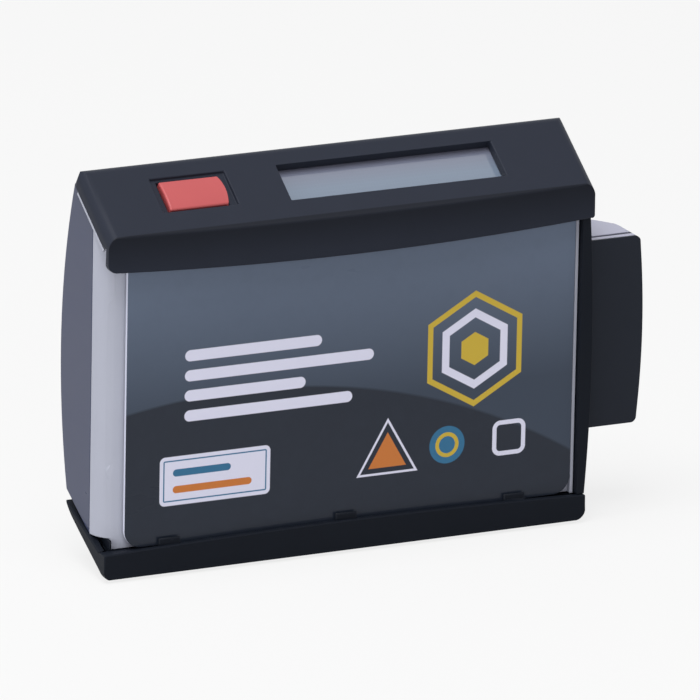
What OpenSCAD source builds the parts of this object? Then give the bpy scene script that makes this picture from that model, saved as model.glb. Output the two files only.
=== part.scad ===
/* [Card] */
// Width of the contactless card
card_w = 85.6; // [80:0.1:90]
// Height of the contactless card
card_h = 53.98; // [50:0.01:58]
// Thickness of the card
card_t = 0.76; // [0.6:0.01:0.9]
// Radius of the card's corners
card_r = 3.18; // [2:0.01:5]
// Running clearance round the card in its slot
card_play = 0.3; // [0.2:0.05:0.5]

/* [Case] */
// Width of the grey cheek to the left of the card
cheek_w = 3.9; // [3:0.1:6]
// Strip of the card bed that shows to the right of the card
stop_gap = 0.9; // [0.5:0.1:1.5]
// Thickness of the stop wall to the right of the card
stop_t = 1.5; // [1.2:0.1:2.5]
// How far the stop wall's right side bulges in the middle
stop_bulge = 0.9; // [0.4:0.1:1.2]
// How far the back bulges between the levels of the card's edges
back_bulge = 3.8; // [3.2:0.1:4.4]
// Height of the back's apex above the middle of the card
back_rise = 4.2; // [0:0.1:6]
// Wall thickness of the rear cover
cover_t = 1.3; // [1.2:0.1:1.6]
// Wall thickness of the grey shell
shell_t = 1.4; // [1.2:0.1:1.8]
// Distance from the card's face to the line where shell and cover meet
parting_y = 6.1; // [6:0.1:8]
// Depth of the flat land on the back that takes the mounting pad
land_depth = 0.5; // [0.3:0.1:0.6]
// Width of the flat land on the back
land_w = 34; // [20:1:50]

/* [Hood] */
// How far the hood's lip stands in front of the card
lip_out = 1.5; // [1.2:0.1:3]
// Height of the crease above the card's top edge
crease_up = 2.5; // [2:0.1:5]
// Height of the lip below its crease, at the ends
lip_h = 6.3; // [5:0.1:8]
// Radius of the lip's lower left corner
lip_corner_r = 1.6; // [0.8:0.1:2]
// How far the lip's lower edge dips in the middle
lip_dip = 1.3; // [0.5:0.1:2]
// How far the hood's front bulges in the middle
lip_bulge = 0.9; // [0.3:0.1:2]
// Slope of the hood's top
hood_angle = 34; // [28:1:38]
// Wall thickness of the hood
hood_t = 1.8; // [1.4:0.1:2.2]
// Depth of the hood's side skirts, square to its slope
skirt_h = 3.3; // [3:0.1:4.5]
// How far the hood and tray stand proud of the case's sides
overhang = 0.5; // [0.3:0.1:0.9]
// Thickness of the skirts of hood and tray
skirt_t = 1.3; // [1.1:0.1:1.6]
// Radius of the hood's long rear edge
ridge_r = 2; // [0.8:0.1:2.5]
// Radius of the hood's sloping end edges
hood_end_r = 2; // [0.8:0.1:2.2]
// Width of the grey line that shows under the hood's skirt
reveal = 0.45; // [0.3:0.05:0.8]

/* [Display] */
// Width of the display window
window_w = 41.2; // [34:0.1:48]
// Height of the display window, up the slope
window_h = 7.9; // [6:0.1:8]
// Distance of the window's middle to the right of the case's middle
window_x = 10.1; // [7:0.1:14]
// Distance of the window's middle up the slope from the crease
window_u = 7.9; // [7:0.05:8]
// Border of the display glass that the hood hides
glass_border = 1; // [0.8:0.1:1.4]
// Thickness of the display glass
glass_t = 2; // [1.6:0.1:2.4]
// Thickness of the light guide behind the glass
guide_t = 1.2; // [0.8:0.1:1.6]
// Wall thickness of the display's frame
frame_t = 0.7; // [0.6:0.1:1]

/* [Button] */
// Width of the push button
button_w = 11.4; // [8:0.1:14]
// Height of the push button, up the slope
button_h = 6.4; // [5:0.1:7.5]
// Distance of the button's middle from the hood's left end
button_from_left = 19.05; // [16:0.05:21]
// Distance of the button's middle up the slope from the crease
button_u = 7.8; // [7:0.05:8.5]
// How far the button's right side bulges
button_bulge = 0.5; // [0.2:0.1:0.9]
// Gap round the button
button_gap = 0.25; // [0.2:0.05:0.4]
// Depth of the shallow recess that the button stands in
recess_d = 0.5; // [0.3:0.1:0.8]
// Width of the recess's margin at both sides of the button
recess_margin = 1.1; // [0.8:0.1:1.8]
// Width of the recess's margin above the button
recess_rise = 0.6; // [0.4:0.1:1]
// Travel of the push button
button_travel = 0.7; // [0.4:0.1:0.8]
// Height of the button's crown above the hood
button_proud = 0.35; // [0.2:0.05:0.8]

/* [Tray] */
// Height of the tray's front below the card's lower edge
tray_drop = 4.8; // [4.5:0.1:7]
// Slope of the tray's underside
tray_angle = 29; // [27:0.5:31]
// How far the tray's underside bulges between its front and its heel
sole_bulge = 0.9; // [0.4:0.1:1.4]
// Radius of the tray's heel, seen from the side
heel_r = 3.5; // [2:0.1:5]
// Wall thickness of the tray
tray_t = 1.7; // [1.4:0.1:2]
// Height of the tray's front wall at its ends
rail_h = 4.5; // [4:0.1:6]
// How much higher the front wall is in the middle
rail_rise = 0.9; // [0.5:0.1:2]
// Height of the tray's side skirt at its front edge
tray_skirt_front = 3.5; // [3.2:0.1:4]
// Height of the tray's side skirt at its rear edge
tray_skirt_back = 0.6; // [0.5:0.1:1.2]
// Width of the tabs that keep the card in
tab_w = 4; // [3:0.1:6]
// Height of the tabs
tab_h = 1.2; // [0.8:0.1:1.6]
// Radius of the tray's lower left corner
tray_corner_r = 1.2; // [1:0.1:3]

// Radius of the tray's lower right corner
tray_end_r = 2; // [1:0.1:3]
// How far the tray stands proud of the case's right side
tray_end = 0.1; // [0:0.1:0.5]

/* [Battery drawer] */
// Diameter of one cell
cell_d = 10.4; // [10:0.1:10.8]
// Length of one cell
cell_l = 44.5; // [38:0.1:46]
// Clearance between the lower cell and the rear cover
cell_clear = 0.5; // [0.3:0.05:2]
// Running clearance of the drawer in its bay
drawer_play = 0.3; // [0.2:0.05:0.4]
// Wall thickness of the drawer
drawer_t = 0.9; // [0.8:0.1:1]
// How far the drawer's grip stands out of the case
grip_out = 13.5; // [12:0.1:18]
// Thickness of the grip's wall behind the cells
grip_wall = 0.5; // [0.4:0.1:0.9]
// Thickness of the grip's dark front plate
grip_plate_t = 0.5; // [0.4:0.1:0.8]
// Width of the light rim behind the front plate
grip_rim = 1.3; // [0.8:0.1:1.6]
// Width of the groove behind the rim
grip_line = 0.9; // [0.5:0.1:1.2]
// Depth of the groove behind the rim
grip_line_d = 0.5; // [0.3:0.1:0.8]
// Radius of the grip's bulging end, seen from the front
grip_end_r = 160; // [120:1:220]
// Radius of the grip's bulging end, seen from above
grip_side_r = 19; // [18:0.5:30]

/* [Boards] */
// Thickness of the main circuit board
main_board_t = 1.2; // [0.8:0.1:1.4]
// Thickness of the antenna board behind the card bed
antenna_t = 0.6; // [0.6:0.1:0.9]
// Thickness of the display board under the hood
display_board_t = 1; // [0.8:0.1:1.2]
// Diameter of an infrared diode
diode_d = 5; // [3:0.1:6]
// Length of an infrared diode, with its dome
diode_l = 8.6; // [6:0.1:9]
// Diameter of the buzzer
buzzer_d = 11; // [8:0.1:12]
// Height of the buzzer
buzzer_h = 5.5; // [4:0.1:7]
// Side of the controller chip
chip_w = 10; // [7:0.1:12]
// Thickness of the controller chip
chip_t = 1.4; // [1:0.1:2]

/* [Screws] */
// Diameter of a case screw's thread
screw_d = 2; // [1.8:0.1:2.2]
// Length of a case screw under its head
screw_l = 8; // [7:0.5:9]
// Diameter of a case screw's head
head_d = 3.6; // [3.2:0.1:3.8]
// Height of a case screw's head
head_h = 1.2; // [1:0.1:1.4]
// Outer diameter of a screw boss
boss_d = 4.6; // [4.4:0.1:5]

/* [Hidden] */

// Faces of small rounds and of large arcs
$fn = 48;
arc_fn = 720;
// One overrun serves every cut
over = shell_t;
// Gap between faces that only meet, and a looser fit
seam = card_play / 6;
fit = card_play / 3;

// Places across the case: the middle of the case is at x = 0
case_w = cheek_w + card_w + stop_gap + stop_t;
hood_w = case_w + 2 * overhang;
left = -case_w / 2;
right = case_w / 2;
card_left = left + cheek_w;
card_right = card_left + card_w;
stop_x = card_right + stop_gap;

// Places along the depth: the card's face is at y = 0
bed_y = card_t + card_play;
bed_back = bed_y + shell_t;
front_y = -lip_out;
back_r = arc_radius(card_h / 2, back_bulge);
cheek_r = parting_y - bed_y;
antenna_back = bed_back + antenna_t;
bay_t = 1.2 * drawer_t;
bay_back = antenna_back + bay_t;
cradle_y = bay_back + drawer_play;
cell_gap = drawer_play / 3;
cell_y = cradle_y + drawer_t + cell_gap + cell_d / 2;
cell_pitch = cell_d + 4 * cell_gap;

// The back clears the lower cell, which lies farthest from its apex
arc_y = cell_y - sqrt(
    pow(back_r - cover_t - cell_clear - cell_d / 2, 2) - pow(cell_pitch + back_rise, 2)
);
case_d = arc_y + back_r;

// Places up the case: the middle of the card is at z = 0
card_top = card_h / 2;
card_bottom = -card_h / 2;
crease_z = card_top + crease_up;
sill_z = card_bottom - tray_drop;
reach = case_w + card_h;

// The shell's roof lies under the hood, and its floor on the tray
roof_under = skirt_h + reveal;
floor_top = tray_t + shell_t;
under_skirt = skirt_t - overhang;

function slope_at(y) = crease_z + (y - front_y) * tan(hood_angle);
function sole_at(y) = sill_z + (y - front_y) * tan(tray_angle);
function back_at(z, inset = 0) = arc_y + sqrt(pow(back_r - inset, 2) - pow(z - back_rise, 2));
function along(p, a, s) = [p[0] + s * cos(a), p[1] + s * sin(a)];
// A point of the side view, up the hood's slope by u and out of it by n
function slope_point(u, n) = along(along([front_y, crease_z], hood_angle, u), hood_angle + 90, n);
// How far a line climbs from p before it meets a circle round the middle of the back's arc
function run_to_arc(p, a, r) =
    let (dy = p[0] - arc_y, dz = p[1] - back_rise, b = dy * cos(a) + dz * sin(a))
    -b + sqrt(b * b - dy * dy - dz * dz + r * r);
function arc_points(c, r, from, to, steps) =
    [for (i = [0 : steps]) along(c, from + (to - from) * i / steps, r)];
// Radius of an arc with this half chord and this height
function arc_radius(half_chord, height) = (pow(half_chord, 2) + pow(height, 2)) / (2 * height);
// Angle of the line from one point to another
function direction(from, to) = atan2(to[1] - from[1], to[0] - from[0]);
// Where two circles meet, on the right of the line between their middles
function meeting(c1, r1, c2, r2) =
    let (d = norm(c2 - c1), run = (r1 * r1 - r2 * r2 + d * d) / (2 * d))
    along(c1, direction(c1, c2) - acos(run / r1), r1);
// A shallow arch across the case, as wide as the hood, and its height at x
arch_steps = 24;
arch_half = hood_w / 2;
function arch_at(x, rise) =
    let (r = arc_radius(arch_half, rise))
    rise - r + sqrt(r * r - x * x);
function arch(rise) =
    [for (i = [0 : arch_steps]) let (x = arch_half * (2 * i / arch_steps - 1)) [x, arch_at(x, rise)]];

round_steps = 8;
round_a = 90 / round_steps;
ridge_start = slope_point(0, -ridge_r);
ridge_run = run_to_arc(ridge_start, hood_angle, back_r - ridge_r);
ridge_c = along(ridge_start, hood_angle, ridge_run);
ridge_a = atan2(ridge_c[1] - back_rise, ridge_c[0] - arc_y);
nape_a = asin((card_top - back_rise) / back_r);
nape_step = (ridge_a - nape_a) / round_steps;

// The side skirt of the tray follows a line of its own
toe = [front_y, sill_z];
sole_l = run_to_arc(toe, tray_angle, back_r);
heel_y = front_y + sole_l * cos(tray_angle);
// The underside is an arc over that line, and meets the back in a round heel
sole_r = arc_radius(sole_l / 2, sole_bulge);
sole_c = along(along(toe, tray_angle, sole_l / 2), tray_angle + 90, sole_r - sole_bulge);
heel_c = meeting(sole_c, sole_r - heel_r, [arc_y, back_rise], back_r - heel_r);
toe_a = direction(sole_c, toe);
sole_a = direction(sole_c, heel_c);
heel_a = direction([arc_y, back_rise], heel_c);
tray_left = -hood_w / 2;
tray_right = right + tray_end;
skirt_angle = atan2(
    sole_at(heel_y) + tray_skirt_back - sill_z - tray_skirt_front,
    heel_y - front_y
);
skirt_z = sill_z + tray_skirt_front;
pocket_w = 2.5 * under_skirt;
pocket_top = card_bottom + card_play * 5;

// Display stack, as depths below the hood's slope
glass_top = hood_t;
guide_top = glass_top + glass_t;
frame_floor = guide_top + guide_t;
frame_bottom = frame_floor + frame_t;
leg_h = frame_t;
display_board_top = frame_bottom + leg_h;
glass_w = window_w + 2 * glass_border;
glass_h = window_h + 2 * glass_border;
frame_w = glass_w + 2 * fit + 2 * frame_t;
frame_h = glass_h + 2 * fit + 2 * frame_t;
zebra_t = 2 * frame_t;
zebra_u = window_u + glass_h / 2 - zebra_t / 2;

// Button stack, as depths below the hood's slope
button_x = -hood_w / 2 + button_from_left;
flange = hood_t / 2;
flange_t = hood_t / 2;
flange_top = hood_t + seam;
stem_r = button_w / 8;
plunger_top = flange_top + flange_t + recess_d;
plunger_r = button_w / 7;
plunger_play = fit;
switch_w = button_w * 0.55;
switch_top = flange_top + flange_t + button_travel + fit;
switch_floor = frame_t / 2;
plunger_bottom = display_board_top - switch_floor - button_travel - seam;

// Display board
display_board_w = 2 * (switch_w - button_x);
display_board_h = switch_w + 2 * hood_t;
display_board_u = button_u - display_board_h / 2;
display_board_bottom = display_board_top + display_board_t;
rib_x = (button_x + switch_w / 2 + window_x - frame_w / 2) / 2;
rib_w = hood_t;

// Battery drawer, from front to back
cradle_h = 3 * cell_pitch + 2 * drawer_t;
bay_h = cradle_h + 2 * drawer_play;
bay_depth = cell_y + cell_d / 4;
cell_names = ["upper_cell", "middle_cell", "lower_cell"];

// Grip of the drawer
grip_x = right + drawer_play;
grip_end = right + grip_out;
grip_h = cradle_h;
grip_back = cell_y + cell_d / 2 + cell_gap + grip_wall;
grip_side_x = grip_end - grip_side_r;
grip_round = drawer_t * 1.3;
bridge_t = drawer_t / 2;
contact_t = drawer_t / 2;
spring_l = cell_d / 3;
cell_end = grip_side_x + sqrt(pow(grip_side_r, 2) - pow(cell_y + cell_d / 2 - cradle_y, 2))
    - drawer_t - bridge_t - cell_gap;
cell_start = cell_end - cell_l;
cradle_x = cell_start - spring_l - contact_t - drawer_t;
bay_x = cradle_x - drawer_play - contact_t - bay_t;
bay_end = stop_x - shell_t;

// Main board, left of the battery bay
board_gap = antenna_t / 2;
main_y = antenna_back + board_gap;
main_back = main_y + main_board_t;
main_left = card_left + shell_t;
main_right = bay_x - board_gap;
main_top = card_top * 0.74;
main_bottom = -main_top;
antenna_right = card_right - shell_t;
antenna_top = main_top - shell_t / 2;
receiver_d = diode_l;
capacitor_d = diode_d * 1.26;
capacitor_l = diode_l;
quartz_w = chip_w * 0.8;
quartz_h = chip_w * 0.35;
connector_w = chip_w * 1.2;
connector_h = chip_t * 2;

// Places on the main board, as shares of its width and height
diode_shares = [[0.12, 0.87], [0.29, 0.87], [0.46, 0.87], [0.63, 0.87]];
receiver_share = [0.38, 0.62];
chip_share = [0.2, 0.41];
quartz_share = [0.52, 0.42];
capacitor_share = [0.2, 0.13];
buzzer_share = [0.5, 0.17];
connector_share = [0.84, 0.9];
standoff_shares = [[0.06, 0.62], [0.93, 0.6], [0.93, 0.08]];
function on_board(share) = [
    main_left + share[0] * (main_right - main_left),
    main_bottom + share[1] * (main_top - main_bottom)
];

// Screw bosses, each a place across and up the case
boss_r = boss_d / 2;
boss_meet = cell_y + boss_r / 2;
boss_left = left + cover_t + boss_r + fit;
boss_right = stop_x - shell_t - boss_r - fit;
boss_high = bay_h / 2 + bay_t + boss_r + board_gap;
boss_places = [
    [boss_left, card_top * 0.6],
    [boss_left, card_bottom * 0.5],
    [boss_right, boss_high],
    [main_right - 2 * boss_d, card_bottom * 0.4]
];
pilot_r = screw_d / 2 + seam;
head_play = fit * 2;
head_sunk = head_h + head_play;
standoff_r = screw_d;
pilot_y = bed_y + shell_t / 2;
board_screw_l = main_back - pilot_y - seam;

// The flat land on the back, where the mounting pad sits
land_y = case_d - land_depth;

// Extrudes a side view, drawn as depth and height, across the case
module across(from, to) {
    translate([from, 0, 0])
        rotate([90, 0, 90])
            linear_extrude(to - from)
                children();
}

// Extrudes a front view, drawn as width and height, through the case
module through(from, to) {
    translate([0, to, 0])
        rotate([90, 0, 0])
            linear_extrude(to - from)
                children();
}

// Extrudes a plan, drawn as width and depth, up the whole case
module upright() {
    translate([0, 0, -reach])
        linear_extrude(2 * reach)
            children();
}

// A round post that points to the back of the case
module post(place, from, to, r) {
    translate([place[0], from, place[1]])
        rotate([-90, 0, 0])
            cylinder(r = r, h = to - from);
}

// A block between two corners
module block(low, high) {
    translate(low)
        cube(high - low);
}

// Places children on the hood's slope: x across, u up the slope, n out of it
module on_slope(x, u, n) {
    translate([x, front_y, crease_z])
        rotate([hood_angle, 0, 0])
            translate([0, u, n])
                children();
}

// A block under the slope, centred on x and u, between two depths
module slope_block(x, u, w, h, top, bottom) {
    on_slope(x, u, -bottom)
        translate([-w / 2, -h / 2, 0])
            cube([w, h, bottom - top]);
}

// Half of the side view: what lies under the hood's slope by this much or more
module under_slope(depth) {
    translate([front_y, crease_z])
        rotate(hood_angle)
            translate([-reach, -2 * reach - depth])
                square(2 * reach);
}

// Half of the side view: what lies over the tray's sole by this much or more
module over_sole(depth) {
    translate([front_y, sill_z])
        rotate(tray_angle)
            translate([-reach, depth])
                square(2 * reach);
}

// Half of the side view: what lies over the tray's skirt by this much or more
module over_skirt(depth) {
    translate([front_y, skirt_z])
        rotate(skirt_angle)
            translate([-reach, depth])
                square(2 * reach);
}

// Side view of the case, drawn in from its slope, its sole and its back
module side_view(top, bottom, back, front) {
    intersection() {
        translate([arc_y, back_rise])
            circle(back_r - back, $fn = arc_fn);
        under_slope(top);
        over_sole(bottom);
        translate([front, -reach])
            square([reach, 2 * reach]);
    }
}

// Plan of the case, drawn in from its left side and its round cheek
module plan(inset, front, to) {
    translate([left + cheek_r, parting_y])
        circle(cheek_r - inset);
    translate([left + cheek_r, front])
        square([to - left - cheek_r, reach]);
    translate([left + inset, parting_y])
        square([cheek_r, reach]);
}

// Side view of the drawer's cradle and its cells, grown by a gap
module bay_opening(grow) {
    translate([cradle_y - grow, -cradle_h / 2 - grow])
        square([bay_depth - cradle_y + grow, cradle_h + 2 * grow]);
    for (row = [-1 : 1])
        translate([cell_y, row * cell_pitch])
            circle(cell_d / 2 + cell_gap + grow);
}

// Side view of the hood's skin, with its long rear edge rounded
module hood_outline() {
    polygon(concat(
        [[front_y - lip_bulge, card_top - reach], slope_point(-lip_bulge / cos(hood_angle), 0)],
        arc_points(ridge_c, ridge_r, hood_angle + 90, ridge_a, round_steps),
        arc_points([arc_y, back_rise], back_r, ridge_a - nape_step, nape_a, round_steps - 1),
        [[back_at(card_top), card_top - reach]]
    ));
}

// A broad shape that ends at a level, with a round corner at each end
module rounded_ends(from, to, level, r_from, r_to) {
    polygon(concat(
        arc_points([to - r_to, level - r_to], r_to, 0, 90, round_steps),
        arc_points([from + r_from, level - r_from], r_from, 90, 180, round_steps),
        [[from, level - reach], [to, level - reach]]
    ));
}

// Front view of the hood's lip, with a dipping lower edge and round corners
module lip_front() {
    low = crease_z - lip_h;
    difference() {
        polygon(concat(
            [for (p = arch(lip_dip)) [p[0], low - p[1]]],
            [[hood_w / 2, crease_z], [-hood_w / 2, crease_z]]
        ));
        // Round lower corners
        for (side = [-1, 1])
            let (r = side < 0 ? lip_corner_r : lip_corner_r / 3)
            translate([side * (hood_w / 2 - r), low + r])
                difference() {
                    translate([min(0, side * 2 * r), -2 * r])
                        square([2 * r, 2 * r]);
                    circle(r);
                }
    }
}

// Outline of the push button, with a bulging right side, grown by a gap
module button_outline(grow) {
    bulge_r = arc_radius(button_h / 2, button_bulge);
    w = button_w + 2 * grow;
    h = button_h + 2 * grow;
    intersection() {
        translate([-w / 2, -h / 2])
            square([w, h]);
        union() {
            translate([button_w / 2 - bulge_r, 0])
                circle(bulge_r + grow);
            translate([-w, -h / 2])
                square([w, h]);
        }
    }
}

module top_hood() {
    color("#41454c")
        difference() {
            intersection() {
                union() {
                    across(-hood_w / 2, hood_w / 2)
                        difference() {
                            hood_outline();
                            under_slope(skirt_h);
                        }
                    through(front_y - lip_bulge, bed_y)
                        lip_front();
                }
                across(-hood_w / 2, hood_w / 2)
                    hood_outline();
                on_slope(0, reach, 0)
                    rotate([90, 0, 0])
                        linear_extrude(2 * reach)
                            rounded_ends(-hood_w / 2, hood_w / 2, 0, hood_end_r, hood_end_r);
                // Round corners at both ends of the ridge
                on_slope(0, 0, -reach)
                    linear_extrude(2 * reach)
                        rounded_ends(-hood_w / 2, hood_w / 2, ridge_run + ridge_r, ridge_r, ridge_r);
                upright()
                    polygon(concat(
                        [for (p = arch(lip_bulge)) [p[0], front_y - p[1]]],
                        [[hood_w, front_y], [hood_w, reach], [-hood_w, reach], [-hood_w, front_y]]
                    ));
            }
            // Room for the front shell's roof, between the skirts
            across(left + under_skirt, right - under_skirt)
                side_view(hood_t, 0, hood_t, bed_y);
            // The card's slot and the seat of the stop wall behind the lip
            block([left - reach, -card_play, -reach], [right, bed_back, card_top + card_play]);
            // Display window, and room for the display's frame
            slope_block(window_x, window_u, window_w, window_h, -over, hood_t + over);
            slope_block(
                window_x, window_u, frame_w + 2 * fit, frame_h + 2 * fit,
                hood_t, display_board_bottom
            );
            // Shallow recess round the button, and the button's hole
            slope_block(
                button_x, button_u + recess_rise / 2,
                button_w + 2 * (recess_margin + button_gap), button_h + recess_rise + 2 * button_gap,
                -over, recess_d
            );
            on_slope(button_x, button_u, -hood_t - over)
                linear_extrude(hood_t + 2 * over)
                    button_outline(button_gap);
        }
}

// Front view of the tray's front wall, with its top edge higher in the middle
module rail_front() {
    polygon(concat(
        [[-hood_w / 2, sill_z]],
        [for (p = arch(rail_rise)) [p[0], sill_z + rail_h + p[1]]],
        [[hood_w / 2, sill_z]]
    ));
}

// Side view of the tray's skin, with its bulging underside and its heel
module tray_outline() {
    polygon(concat(
        arc_points(sole_c, sole_r, toe_a, sole_a, round_steps),
        arc_points(heel_c, heel_r, sole_a + round_a, heel_a, round_steps - 1),
        [[back_at(card_bottom / 2), card_bottom / 2], [front_y, card_bottom / 2]]
    ));
}

module bottom_tray() {
    tab_shares = [0.096, 0.49, 0.87];
    color("#1d1f25") {
        difference() {
            intersection() {
                union() {
                    across(tray_left, tray_right)
                        difference() {
                            tray_outline();
                            over_skirt(0);
                        }
                    through(front_y, bed_y)
                        rail_front();
                }
                across(tray_left, tray_right)
                    tray_outline();
                through(front_y, case_d)
                    translate([0, sill_z])
                        mirror([0, 1])
                            rounded_ends(tray_left, tray_right, 0, tray_corner_r, tray_end_r);
                translate([0, front_y, sill_z])
                    rotate([tray_angle, 0, 0])
                        translate([0, reach, 0])
                            rotate([90, 0, 0])
                                mirror([0, 1, 0])
                                    linear_extrude(2 * reach)
                                        rounded_ends(
                                            tray_left, tray_right, sole_bulge, tray_corner_r, tray_end_r
                                        );
            }
            // Room for the front shell's floor, between the skirts
            across(left + under_skirt, right - under_skirt)
                side_view(0, tray_t, tray_t, bed_y);
            // The card's channel behind the rail
            block([left - reach, -card_play, card_bottom - card_play], [right + reach, bed_y + seam, reach]);
        }
        // Tabs that keep the card in
        for (share = tab_shares) {
            x = card_left + share * card_w;
            edge = sill_z + rail_h + arch_at(x, rail_rise);
            block([x - tab_w / 2, -lip_out * 0.5, edge - tab_h], [x + tab_w / 2, -card_play, edge + tab_h]);
        }
        // Dark wall inside the pocket at the left end
        across(left + pocket_w - under_skirt / 2, left + pocket_w)
            difference() {
                translate([bed_y + seam, sill_z])
                    square([parting_y - bed_y - 2 * seam, pocket_top - seam - sill_z]);
                under_sole_band();
            }
    }
}

// Half of the side view: what lies under the tray's inner face
module under_sole_band() {
    translate([front_y, sill_z])
        rotate(tray_angle)
            translate([-reach, tray_t / 2 - 2 * reach])
                square(2 * reach);
}

module card_stop() {
    foot = sill_z + rail_h + arch_at(stop_x, rail_rise);
    brow = crease_z - lip_h;
    bulge_half = (brow - foot) / 2 - seam;
    bulge_r = arc_radius(bulge_half, stop_bulge);
    bulge_a = asin(bulge_half / bulge_r);
    color("#22252b")
        difference() {
            union() {
                across(stop_x, right)
                    intersection() {
                        side_view(roof_under + seam, tray_t, 0, bed_y);
                        over_skirt(seam);
                        translate([0, -reach])
                            square([parting_y, 2 * reach]);
                    }
                block([stop_x, -card_play, card_bottom - card_play], [right, bed_y, card_top + card_play]);
                block([stop_x, front_y * 0.7, foot + seam], [right, -card_play, brow - seam]);
                // The wall's right side bulges
                intersection() {
                    through(front_y * 0.7, cradle_y - drawer_play)
                        polygon(concat(
                            arc_points(
                                [right + stop_bulge - bulge_r, (foot + brow) / 2],
                                bulge_r, -bulge_a, bulge_a, arch_steps
                            ),
                            [[right - stop_t / 2, brow - seam], [right - stop_t / 2, foot + seam]]
                        ));
                    across(stop_x, right + over)
                        over_skirt(seam);
                }
            }
            across(stop_x - over, right - under_skirt + seam)
                difference() {
                    side_view(0, 0, 0, bed_y);
                    over_sole(floor_top + seam);
                }
            across(stop_x - over, right + over)
                bay_opening(drawer_play);
        }
}

module front_shell() {
    color("#b4b7c0")
        difference() {
            union() {
                difference() {
                    intersection() {
                        union() {
                            // Grey body in front of the parting line
                            across(left, stop_x)
                                intersection() {
                                    side_view(skirt_h + seam, tray_t + seam, 0, bed_y);
                                    over_skirt(seam);
                                    translate([0, -reach])
                                        square([parting_y, 2 * reach]);
                                }
                            // Roof and floor, between the skirts
                            across(left + under_skirt + seam, right - under_skirt - seam)
                                side_view(hood_t, tray_t, hood_t, bed_y);
                            // The line that shows under the hood's skirt
                            across(left, right)
                                difference() {
                                    side_view(skirt_h + seam, 0, hood_t, bed_y);
                                    under_slope(roof_under);
                                }
                        }
                        upright()
                            plan(0, bed_y, right);
                    }
                    // Hollow behind the card bed
                    intersection() {
                        across(left - over, right + over)
                            side_view(roof_under, floor_top, -over, bed_back);
                        upright() {
                            intersection() {
                                plan(shell_t, bed_back, stop_x - shell_t);
                                translate([left, 0])
                                    square([case_w, parting_y + over]);
                            }
                            translate([left - over, parting_y])
                                square([case_w + 2 * over, reach]);
                        }
                    }
                    // Room for the stop wall
                    across(stop_x, right + over)
                        side_view(roof_under, floor_top, -over, bed_y - over);
                }
                for (place = boss_places)
                    post(place, bed_y + shell_t / 2, boss_meet, boss_r);
                for (share = standoff_shares)
                    post(on_board(share), bed_y + shell_t / 2, main_y, standoff_r);
                // Rib that carries the display board
                slope_block(
                    rib_x, button_u, rib_w, display_board_h,
                    roof_under - shell_t / 2, display_board_top
                );
            }
            for (place = boss_places)
                post(place, boss_meet - screw_l, boss_meet + over, pilot_r);
            for (share = standoff_shares)
                post(on_board(share), pilot_y, main_y + over, pilot_r);
            // Wells for the display and for the button's flange
            slope_block(
                window_x, window_u, frame_w + 2 * fit, frame_h + 2 * fit,
                hood_t - over, display_board_top
            );
            slope_block(
                button_x, button_u, button_w + 2 * flange + 4 * fit, button_h + 2 * flange + 4 * fit,
                hood_t - over, roof_under + over
            );
            // Groove beside the stop wall
            block([card_right + stop_gap * 0.6, 0, -reach], [stop_x + seam, bed_y + shell_t / 2, card_top]);
            // Windows for the leaf springs behind the card
            for (share = spring_shares)
                block(
                    [card_left + share * card_w - leaf_l / 2 - fit, 0, -leaf_w / 2 - fit],
                    [card_left + share * card_w + leaf_l / 2 + fit, bed_back + seam, leaf_w / 2 + fit]
                );
            // Bay opening in the right side wall
            across(stop_x - shell_t - over, right + over)
                bay_opening(drawer_play);
            // Pocket at the foot of the cheek
            block([left - over, 0, -reach], [left + pocket_w + seam, parting_y + over, pocket_top]);
        }
}

module rear_cover() {
    color("#3b4050")
        difference() {
            union() {
                difference() {
                    across(left, right)
                        intersection() {
                            side_view(roof_under + seam, tray_t + seam, 0, parting_y + seam);
                            over_skirt(seam);
                        }
                    across(left + cover_t, right - cover_t)
                        side_view(0, 0, cover_t, parting_y - over);
                    // Lap joint over the shell's floor
                    across(left + under_skirt, right - under_skirt)
                        difference() {
                            side_view(0, 0, 0, front_y);
                            over_sole(floor_top + seam);
                        }
                }
                intersection() {
                    for (place = boss_places)
                        post(place, boss_meet + seam, case_d, boss_r);
                    across(left + fit, right - fit)
                        side_view(roof_under, floor_top + seam, cover_t / 2, parting_y);
                }
            }
            for (place = boss_places) {
                post(place, boss_meet - over, case_d + over, pilot_r + fit);
                post(place, back_at(place[1]) - head_sunk, case_d + over, head_d / 2 + head_play);
            }
            across(right - cover_t - over, right + over)
                bay_opening(drawer_play);
            // Flat land for the mounting pad
            block([-land_w / 2, land_y, -reach], [land_w / 2, case_d + over, reach]);
        }
}

module smart_card() {
    color("#39414e")
        translate([card_left + card_r, card_t, 0])
            rotate([90, 0, 0])
                linear_extrude(card_t) {
                    translate([0, card_bottom])
                        square([card_w - 2 * card_r, card_h]);
                    translate([-card_r, card_bottom + card_r])
                        square([card_w, card_h - 2 * card_r]);
                    for (x = [0, card_w - 2 * card_r], z = [card_bottom + card_r, card_top - card_r])
                        translate([x, z])
                            circle(card_r);
                }
}

// Leaf springs press the card forward from windows in its bed
spring_shares = [0.25, 0.75];
leaf_l = card_w / 7;
leaf_w = card_h / 13;
leaf_t = card_t / 4;
leaf_rise = bed_back - card_t - card_play / 3;

module card_springs() {
    r = arc_radius(leaf_l / 2, leaf_rise);
    color("#b9bcc2")
        for (share = spring_shares)
            translate([card_left + share * card_w, bed_back - leaf_rise + r, -leaf_w / 2])
                linear_extrude(leaf_w)
                    intersection() {
                        difference() {
                            circle(r, $fn = arc_fn);
                            circle(r - leaf_t, $fn = arc_fn);
                        }
                        translate([-leaf_l / 2, -r])
                            square([leaf_l, leaf_rise]);
                    }
}

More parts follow.
